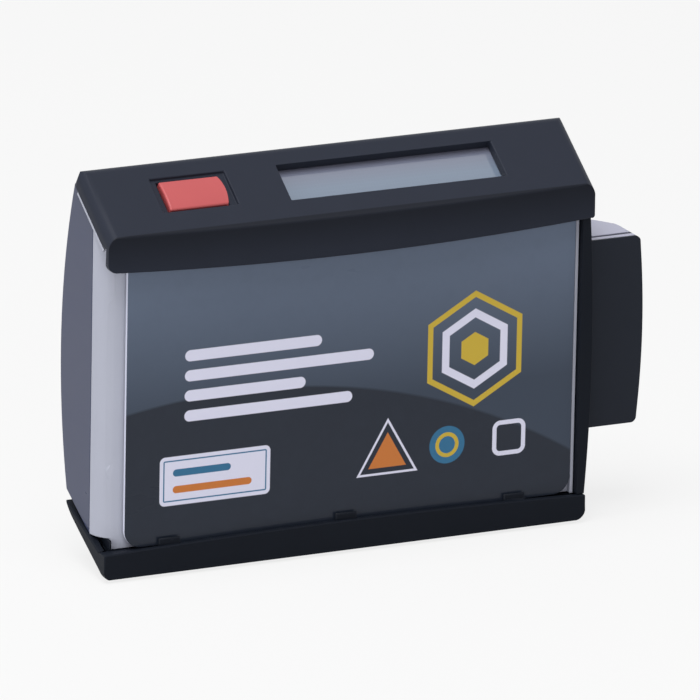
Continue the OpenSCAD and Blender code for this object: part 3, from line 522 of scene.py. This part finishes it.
def board_paint(name, look, coil=None):
    """Circuit board: solder mask over etched tracks and gold pads.

    coil is the middle and the size of a printed coil: turns along its edge round a copper field.
    A board with a coil has no pads."""
    sheet = Sheet(name)
    x, y, z = sheet.axes()
    across = x / MM
    up = z / MM
    track_pitch, pad_pitch, turn_pitch = 1.27, 2.54, 1.1
    weave = sheet.noise(700.0)
    base = sheet.mix(weave * 0.3, look.mask, look.track)
    lanes = abs((up / track_pitch).fraction() - 0.5).under(0.16, 0.06)
    runs = sheet.noise(110.0, detail=1.0, roughness=0.4, stretch=(0.35, 1, 1)).over(0.5, 0.02)
    base = sheet.mix(lanes * runs * 0.7, base, look.track)
    column, row = ((way / pad_pitch).fraction() for way in (across, up))
    dots = disc(column, row, (0.5, 0.5), 0.17).under(0, 0.04)
    sites = sheet.noise(60.0, detail=1.0, roughness=0.4).over(0.56, 0.01)
    pads = dots * sites
    if coil:
        middle, size = coil
        turns = rounded_box(across, up, middle, size, 3.0)
        rings = abs((turns / turn_pitch).fraction() - 0.5).under(0.24, 0.06)
        band = turns.under(-1.0, 0.1)
        base = sheet.mix(rings * band * 0.85, base, look.track)
        pads = 0.0
    base = sheet.mix(pads, base, look.gold)
    return sheet.finish(
        Base_Color=base, Roughness=0.42 - pads * 0.12 + weave.swing(0.1), Metallic=pads * 0.8,
        Normal=sheet.bump(lanes * 0.6 + weave * 0.3, 0.25, depth=0.04 * MM),
        Specular_IOR_Level=0.4,
    )


def cell_wrap(node, look):
    """AAA cell: a printed sleeve with a pale band and a thin line, and bright ends."""
    low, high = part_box(node)
    sheet = Sheet("sleeve of " + node)
    x, y, z = sheet.axes()
    along = (x - low[0]) / MM
    whole = (high[0] - low[0]) / MM
    flat_end, cap_end = 0.7, 1.6
    sleeve = along.over(flat_end, 0.1) * along.under(whole - cap_end, 0.1)
    band = abs(along - whole * 0.72).under(2.6, 0.12)
    line = abs(along - whole * 0.6).under(0.35, 0.1)
    smear = sheet.noise(300.0, detail=3.0, roughness=0.6)
    ink = sheet.mix(band.largest(line), look.sleeve, look.band)
    ink = sheet.mix(smear * 0.12, ink, look.smear)
    base = sheet.mix(sleeve, look.cap, ink)
    return sheet.finish(
        Base_Color=base, Roughness=0.28 + smear.swing(0.12), Metallic=1 - sleeve,
        Normal=sheet.bump(smear, 0.05, depth=0.03 * MM),
        Coat_Weight=sleeve * 0.4, Coat_Roughness=0.1,
    )


def paint_node(node, material):
    """Gives a CAD node a new finish and leaves its shape."""
    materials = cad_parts[node].data.materials
    materials.clear()
    materials.append(material)


def settings():
    return bpy.context.scene.transponder


def length(name, description, default):
    """A length in metres, as a setting."""
    return FloatProperty(
        name=name, description=description, default=default, subtype="DISTANCE", unit="LENGTH",
    )


def colour(name, description, default):
    """A colour in linear light, as a setting."""
    return FloatVectorProperty(
        name=name, description=description, default=default, subtype="COLOR", min=0.0, max=1.0,
    )


class CaseLook(PropertyGroup):
    """Colours and edges of the case."""

    hood: colour("Hood", "Colour of the sloping hood", srgb(38, 42, 53))
    rail: colour("Rail", "Colour of the tray, its rail and the stop wall", srgb(21, 25, 33))
    shell: colour("Shell", "Colour of the light body round the card", srgb(170, 173, 187))
    cover: colour("Cover", "Colour of the dark back", srgb(52, 59, 86))
    edge: length("Edge", "Radius of the hood's moulded edges", 0.22 * MM)
    tray_edge: length("Tray Edge", "Radius of the tray's moulded edges", 0.25 * MM)
    fine_edge: length("Fine Edge", "Radius of the other case edges", 0.12 * MM)
    slope: FloatProperty(
        name="Slope", description="Slope of the hood's top",
        default=math.radians(34), subtype="ANGLE",
    )
    cheek: length("Cheek", "Radius of the cheek's round front, in plan", 5.01 * MM)
    skirt: length("Skirt", "Depth of the hood's side skirts, square to its slope", 3.3 * MM)
    lip: length("Lip", "Height of the lip below the crease", 6.3 * MM)
    lip_out: length("Lip Out", "How far the hood's crease stands in front of the card", 1.5 * MM)
    crease_up: length("Crease Up", "Height of the hood's crease above the card", 2.5 * MM)
    rib_gap: length("Rib Gap", "From the card's right edge to the rib's middle", 0.45 * MM)
    rib_back: length("Rib Back", "From the card's front to the rib's middle", 0.72 * MM)
    # the light line under the skirts is partly the shell in the seam and partly a painted highlight
    reveal: length("Reveal", "Width of the light line under the skirts", 0.56 * MM)


class CardLook(PropertyGroup):
    """Print of the card."""

    top: colour("Top", "Colour at the card's upper edge", srgb(108, 121, 143))
    haze: colour("Haze", "Colour over the arc", srgb(60, 70, 86))
    low: colour("Low", "Colour under the arc", srgb(38, 44, 56))
    core: colour("Core", "White plastic at the edges and the back", srgb(206, 209, 226))
    white: colour("White", "Pale print", srgb(226, 226, 246))
    yellow: colour("Yellow", "Yellow print", srgb(206, 176, 62))
    orange: colour("Orange", "Orange print", srgb(205, 122, 58))
    blue: colour("Blue", "Blue print", srgb(52, 112, 150))


class FrontLook(PropertyGroup):
    """Colours of the button and the display."""

    button: colour("Button", "Colour of the push button", srgb(178, 78, 80))
    field: colour("Display", "Colour of the display's field", srgb(114, 128, 147))
    # painted shade at the display's top, under the hood's edge
    upper: colour("Display Top", "Colour of the display under the hood's edge", srgb(112, 112, 130))
    cells: colour("Display Cells", "Colour of the display's faint cells", srgb(88, 98, 108))
    seal: colour("Display Seal", "Colour of the seal round the field", srgb(40, 43, 50))


class DrawerLook(PropertyGroup):
    """Colours of the battery drawer."""

    cradle: colour("Cradle", "Colour of the light cradle", srgb(164, 165, 184))
    grip: colour("Grip", "Colour of the grip's front plate", srgb(38, 42, 51))
    rim: length("Rim", "Width of the light strip behind the grip's plate", 1.3 * MM)
    # the darkness of the groove round the grip is painted shade on the cradle
    groove: length("Groove", "Width of the dark groove round the grip", 0.9 * MM)
    sleeve: colour("Sleeve", "Colour of the cells' sleeve", srgb(52, 74, 112))
    band: colour("Band", "Colour of the band round the cells", srgb(226, 228, 230))
    smear: colour("Smear", "Colour of the dark smears on the sleeve", srgb(20, 22, 28))
    cap: colour("Cap", "Colour of the cells' bare ends", srgb(196, 198, 202))


class BoardLook(PropertyGroup):
    """Colours of the circuit boards."""

    mask: colour("Mask", "Solder mask", srgb(22, 82, 56))
    track: colour("Track", "Solder mask over copper", srgb(52, 128, 84))
    gold: colour("Gold", "Gold-plated pads", srgb(214, 178, 96))


class TransponderSettings(PropertyGroup):
    """What a user would change about the transponder."""

    case: PointerProperty(type=CaseLook)
    card: PointerProperty(type=CardLook)
    front: PointerProperty(type=FrontLook)
    drawer: PointerProperty(type=DrawerLook)
    board: PointerProperty(type=BoardLook)
    azimuth: FloatProperty(
        name="Azimuth", description="Camera direction round the object",
        default=math.radians(-25.96), subtype="ANGLE",
    )
    elevation: FloatProperty(
        name="Elevation", description="Camera height over the horizon",
        default=math.radians(16.81), subtype="ANGLE",
    )
    roll: FloatProperty(
        name="Roll", description="Camera tilt round its own axis",
        default=math.radians(1.125), subtype="ANGLE",
    )
    view_across: length(
        "View Across", "From the card's lower left corner to the view's middle", 38.8 * MM,
    )
    view_up: length("View Up", "The same, upwards in the picture", 34.26 * MM)
    distance: length("Distance", "From the camera to the middle of the view", 1.98)
    picture_scale: FloatProperty(
        name="Scale", description="Pixels of the 700-pixel picture to a millimetre", default=5.816,
    )
    floor_gap: length("Floor Gap", "From the object's lowest point to the floor", 0.6 * MM)


class TRANSPONDER_OT_case(Operator):
    """Dresses the hood, the tray, the shell and the back cover"""

    bl_idname = "transponder.case"
    bl_label = "Dress the Case"

    def execute(self, context):
        look = settings().case
        card_low, card_high = (Vector(corner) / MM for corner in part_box("smart_card"))
        crease = Vector((0, card_low.y - look.lip_out / MM, card_high.z + look.crease_up / MM))

        def lip_painted_shade(x, y, z):
            """Painted shade: the lip darkens towards its crease."""
            reach, soft, painted_darkening = 0.1 * MM, 0.2 * MM, 0.5
            lip = y.under(crease.y * MM + reach, soft)
            rise = ((z - (crease.z * MM - look.lip)) / look.lip).clamped()
            return 1 - lip * rise * painted_darkening

        hood = moulded(
            "satin hood plastic", look.hood, roughness=0.46, grain=0.3, gloss=0.1, painted_shade=lip_painted_shade,
        )
        rail = moulded("satin rail plastic", look.rail, roughness=0.42, grain=0.25, gloss=0.08)
        shell = moulded("light shell plastic", look.shell, roughness=0.5, grain=0.2, mottle=0.03)
        cover = moulded(
            "dark cover plastic", look.cover, roughness=0.3, grain=0.08, coat=0.3, gloss=0.2,
        )
        hood_low, hood_high = (Vector(corner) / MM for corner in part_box("top_hood"))
        fine_edge = look.fine_edge / MM
        piece_from("top_hood", "hood", hood, "housing", look.edge / MM)
        piece_from("bottom_tray", "tray", rail, "housing", look.tray_edge / MM)
        piece_from("card_stop", "stop_wall", rail, "housing", fine_edge)
        piece_from("front_shell", "shell", shell, "housing", fine_edge, cheek=look.cheek)
        piece_from("rear_cover", "cover", cover, "housing", fine_edge)
        self.add_rib(look, shell, card_low, card_high, hood_low.z)
        self.add_reveal_and_highlight_lines(look, shell, crease, hood_high.x)
        return {"FINISHED"}

    def add_rib(self, look, material, card_low, card_high, hood_foot):
        """The thin light rib that stands along the card's right edge."""
        half_width, half_depth, corner = 0.3, 0.6, 0.12
        into_hood, under_card = 0.8, 0.2
        x = card_high.x + look.rib_gap / MM
        y = card_low.y + look.rib_back / MM
        ends = ((x, y, hood_foot + into_hood), (x, y, card_low.z - under_card))
        bar(
            "card_guide", ends, (half_width, 0, 0), (0, half_depth, 0), corner,
            material, "housing",
        )

    def add_reveal_and_highlight_lines(self, look, material, crease, hood_side):
        """Light strips under the hood's side skirts, along its slope: partly the shell in the seam,
        partly a painted highlight.
        """
        back, fall = math.cos(look.slope), math.sin(look.slope)
        half_width, corner, skirt_gap = 0.24, 0.1, 0.32
        half = look.reveal / MM / 2
        under = crease - Vector((0, -fall, back)) * (look.skirt / MM + skirt_gap)
        first, last = 0.4, 13.6
        # each strip is the light shell in the seam and a painted highlight along the skirt's lower
        # edge
        for side, name in ((-1, "left"), (1, "right")):
            start = under + Vector((side * (hood_side - half), 0, 0))
            bar(
                name + "_reveal_line",
                [start + Vector((0, back, fall)) * run for run in (first, last)],
                (half_width, 0, 0), (0, -fall * half, back * half), corner,
                material, "housing",
            )


class TRANSPONDER_OT_card(Operator):
    """Prints the card and dresses the springs behind it"""

    bl_idname = "transponder.card"
    bl_label = "Dress the Card"

    def execute(self, context):
        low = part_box("smart_card")[0]
        print_material = card_print(low, settings().card)
        piece_from("smart_card", "card", print_material, "card", bevel=0.04, segments=2)
        steel = metal("spring steel", srgb(176, 176, 172), roughness=0.3, brushed=(0.2, 1, 3))
        paint_node("card_springs", steel)
        return {"FINISHED"}


class TRANSPONDER_OT_button(Operator):
    """Dresses the push button and its switch"""

    bl_idname = "transponder.button"
    bl_label = "Dress the Button"

    def execute(self, context):
        look = settings().front
        red = moulded(
            "red button plastic", look.button, roughness=0.42, grain=0.12, mottle=0.04, gloss=0.4,
        )
        piece_from("push_button", "button", red, "button", bevel=0.3, segments=4)
        nylon = moulded(
            "natural nylon", srgb(214, 208, 190), roughness=0.45, grain=0.1, mottle=0.04,
        )
        can = metal("switch can", srgb(168, 168, 166), roughness=0.38, brushed=(1, 1, 2))
        paint_node("switch_plunger", nylon)
        paint_node("tact_switch", can)
        return {"FINISHED"}


class TRANSPONDER_OT_display(Operator):
    """Dresses the display, its frame, its light and its contact strip"""

    bl_idname = "transponder.display"
    bl_label = "Dress the Display"

    def execute(self, context):
        look = settings().front
        low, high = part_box("display_glass")
        glass = liquid_crystal(low, high, look)
        piece_from("display_glass", "display", glass, "housing", bevel=0.1, segments=2)
        acrylic = moulded(
            "frosted acrylic", srgb(226, 232, 232), roughness=0.3, grain=0.3, mottle=0.02,
        )
        silicone = moulded("pink silicone", srgb(196, 146, 150), roughness=0.6, grain=0.2)
        paint_node("light_guide", acrylic)
        paint_node("display_frame", moulded("black frame plastic", srgb(32, 33, 36), roughness=0.5))
        paint_node("zebra_strip", silicone)
        return {"FINISHED"}


class TRANSPONDER_OT_drawer(Operator):
    """Dresses the battery drawer, its cells and contacts, and the bay"""

    bl_idname = "transponder.drawer"
    bl_label = "Dress the Drawer"

    def execute(self, context):
        look = settings().drawer
        plate_low, plate_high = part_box("grip_plate")

        def groove_painted_shade(x, y, z):
            """Painted shade: the groove round the grip is darkened."""
            soft, painted_darkening = 0.08 * MM, 0.85
            start = plate_high[1] + look.rim
            groove = y.over(start, soft) * y.under(start + look.groove, soft)
            return 1 - groove * x.over(plate_low[0], 0.1 * MM) * painted_darkening

        light = moulded(
            "light drawer plastic", look.cradle, roughness=0.42,
            grain=0.18, mottle=0.03, painted_shade=groove_painted_shade,
        )
        dark = moulded("dark grip plastic", look.grip, roughness=0.4, grain=0.2, gloss=0.1)
        piece_from("drawer_cradle", "cradle", light, "drawer", bevel=0.15)
        piece_from("grip_plate", "grip", dark, "drawer", bevel=0.12)
        for node in ("upper_cell", "middle_cell", "lower_cell"):
            name = node.replace("_cell", "_battery")
            piece_from(node, name, cell_wrap(node, look), "drawer", bevel=0.25)
        nickel = metal("nickel plate", srgb(206, 204, 196), roughness=0.26, brushed=(0.4, 1, 2))
        for node in ("cell_springs", "bridge_strips", "bay_contacts"):
            paint_node(node, nickel)
        paint_node("battery_bay", moulded("grey bay plastic", srgb(120, 124, 134), roughness=0.5))
        return {"FINISHED"}


class TRANSPONDER_OT_boards(Operator):
    """Dresses the circuit boards and the parts on them"""

    bl_idname = "transponder.boards"
    bl_label = "Dress the Boards"

    def execute(self, context):
        look = settings().board
        low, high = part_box("antenna_board")
        middle = ((low[0] + high[0]) / 2 / MM, (low[2] + high[2]) / 2 / MM)
        size = ((high[0] - low[0]) / MM, (high[2] - low[2]) / MM)
        board = board_paint("main board", look)
        paint_node("main_board", board)
        paint_node("display_board", board)
        paint_node("antenna_board", board_paint("reader board", look, (middle, size)))
        can = metal("quartz can", srgb(196, 196, 192), roughness=0.3, brushed=(2, 1, 0.3))
        paint_node("quartz_can", can)
        for node, name, tint, roughness, grain, coat in (
            ("controller_chip", "chip epoxy", srgb(30, 31, 34), 0.55, 0.5, 0.0),
            ("supply_capacitor", "capacitor sleeve", srgb(34, 40, 62), 0.35, 0.25, 0.3),
            ("infrared_diodes", "infrared epoxy", srgb(48, 30, 62), 0.12, 0.02, 0.8),
            ("infrared_receiver", "receiver epoxy", srgb(26, 24, 28), 0.2, 0.05, 0.5),
            ("buzzer", "buzzer plastic", srgb(24, 24, 26), 0.45, 0.25, 0.0),
            ("board_connector", "connector nylon", srgb(206, 202, 188), 0.45, 0.25, 0.0),
        ):
            paint_node(node, moulded(name, tint, roughness, grain=grain, coat=coat))
        return {"FINISHED"}


class TRANSPONDER_OT_fasteners(Operator):
    """Dresses the screws"""

    bl_idname = "transponder.fasteners"
    bl_label = "Dress the Fasteners"

    def execute(self, context):
        paint_node("case_screws", metal("black zinc", srgb(78, 78, 82), roughness=0.36))
        paint_node("board_screws", metal("bright zinc", srgb(190, 192, 196), roughness=0.3))
        return {"FINISHED"}


class TRANSPONDER_OT_stage(Operator):
    """Sets the floor, the lamps, the world and the camera"""

    bl_idname = "transponder.stage"
    bl_label = "Set the Stage"

    def execute(self, context):
        scene = context.scene
        look = settings()
        set_floor(CAD_BOX[0][2] - look.floor_gap)
        set_lamps()
        set_world(scene)
        set_camera(scene, look)
        scene.view_settings.view_transform = "Standard"
        return {"FINISHED"}


def set_floor(height):
    """A pale floor that glows to the camera's eye, like the photograph's plain ground."""
    half = 1.5
    form = bmesh.new()
    form.faces.new([form.verts.new((x * half, y * half, height)) for x, y in SQUARE])
    sheet = Sheet("pale floor")
    seen = sheet.add("ShaderNodeLightPath")
    cloud = sheet.noise(6.0)
    paper = sheet.add(
        "ShaderNodeBsdfPrincipled", Base_Color=grey(sheet, 0.62 + cloud * 0.02),
        Roughness=0.7, Specular_IOR_Level=0.1,
    )
    glow = sheet.add("ShaderNodeEmission", Color=(1.0, 1.0, 1.0), Strength=1.0)
    mixed = sheet.add("ShaderNodeMixShader", Fac=seen * 0.8)
    places = mixed.socket.node.inputs
    plug(sheet.tree, places[1], paper)
    plug(sheet.tree, places[2], glow)
    sheet.add("ShaderNodeOutputMaterial", Surface=mixed)
    floor = object_from(form, "floor", sheet.material)


def set_lamps():
    """Three area lamps; each has a name, a place, a width and height, and a power."""
    lamps = (
        ("key lamp", (-0.35, -0.25, 1.4), (0.9, 0.9), 20.0),
        ("front lamp", (-0.3, -1.6, 0.5), (1.4, 0.8), 3.2),
        ("side lamp", (-1.4, -0.1, 0.45), (0.8, 0.9), 7.0),
    )
    middle = Vector((0.0, -0.01, 0.0))
    for name, place, size, power in lamps:
        lamp = bpy.data.lights.new(name, "AREA")
        lamp.shape = "RECTANGLE"
        lamp.size, lamp.size_y = size
        lamp.energy = power
        thing = bpy.data.objects.new(name, lamp)
        thing.location = place
        thing.rotation_euler = (middle - Vector(place)).to_track_quat("-Z", "Y").to_euler()
        bpy.context.scene.collection.objects.link(thing)


def set_world(scene):
    """White to the camera and in mirror images, and dimmer where it lights the object."""
    ambient = 0.3
    world = bpy.data.worlds.new("studio")
    world.use_nodes = True
    scene.world = world
    tree = world.node_tree
    tree.nodes.clear()
    sky = tree.nodes.new("ShaderNodeBackground")
    sky.inputs["Color"].default_value = (1.0, 1.0, 1.0, 1.0)
    seen = tree.nodes.new("ShaderNodeLightPath")
    strength = Wire(tree, seen.outputs["Is Camera Ray"])
    for kind in ("Is Glossy Ray", "Is Transmission Ray"):
        strength = strength.largest(Wire(tree, seen.outputs[kind]))
    strength = strength.largest(ambient)
    tree.links.new(strength.socket, sky.inputs["Strength"])
    out = tree.nodes.new("ShaderNodeOutputWorld")
    tree.links.new(sky.outputs[0], out.inputs[0])


def set_camera(scene, look):
    """The camera looks along the photograph's direction.

    The middle of its view is placed from the card's lower left corner."""
    azimuth, elevation, roll = look.azimuth, look.elevation, look.roll
    forward = Vector((
        -math.sin(azimuth) * math.cos(elevation),
        math.cos(azimuth) * math.cos(elevation),
        -math.sin(elevation),
    ))
    right = Vector((math.cos(azimuth), math.sin(azimuth), 0.0))
    up = right.cross(forward)
    right, up = (
        right * math.cos(roll) + up * math.sin(roll),
        up * math.cos(roll) - right * math.sin(roll),
    )
    corner = Vector(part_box("smart_card")[0])
    middle = corner + right * look.view_across + up * look.view_up
    camera = bpy.data.cameras.new("camera")
    camera.sensor_width = SENSOR_WIDTH
    camera.lens = look.picture_scale * look.distance / MM * SENSOR_WIDTH / PICTURE_WIDTH
    camera.clip_end = 20.0
    thing = bpy.data.objects.new("camera", camera)
    axes = Matrix((right, up, -forward)).transposed()
    thing.matrix_world = Matrix.Translation(middle - forward * look.distance) @ axes.to_4x4()
    scene.collection.objects.link(thing)
    scene.camera = thing


class TRANSPONDER_PT_panel(Panel):
    """Lists the transponder's pieces and settings in the sidebar."""

    bl_label = "Toll Transponder"
    bl_idname = "TRANSPONDER_PT_panel"
    bl_space_type = "VIEW_3D"
    bl_region_type = "UI"
    bl_category = "Transponder"

    def draw(self, context):
        for operator in OPERATORS:
            self.layout.operator(operator.bl_idname)
        for key in TransponderSettings.__annotations__:
            look = getattr(settings(), key)
            if isinstance(look, PropertyGroup):
                for part in look.__annotations__:
                    self.layout.prop(look, part)
            else:
                self.layout.prop(settings(), key)


GROUPS = (CaseLook, CardLook, FrontLook, DrawerLook, BoardLook, TransponderSettings)
OPERATORS = (
    TRANSPONDER_OT_case,
    TRANSPONDER_OT_card,
    TRANSPONDER_OT_button,
    TRANSPONDER_OT_display,
    TRANSPONDER_OT_drawer,
    TRANSPONDER_OT_boards,
    TRANSPONDER_OT_fasteners,
    TRANSPONDER_OT_stage,
)


def register():
    for kind in (*GROUPS, *OPERATORS, TRANSPONDER_PT_panel):
        bpy.utils.register_class(kind)
    bpy.types.Scene.transponder = PointerProperty(type=TransponderSettings)


def unregister():
    del bpy.types.Scene.transponder
    for kind in reversed((*GROUPS, *OPERATORS, TRANSPONDER_PT_panel)):
        bpy.utils.unregister_class(kind)


def main():
    register()
    for operator in OPERATORS:
        family, name = operator.bl_idname.split(".")
        getattr(getattr(bpy.ops, family), name)()


if __name__ == "__main__":
    main()
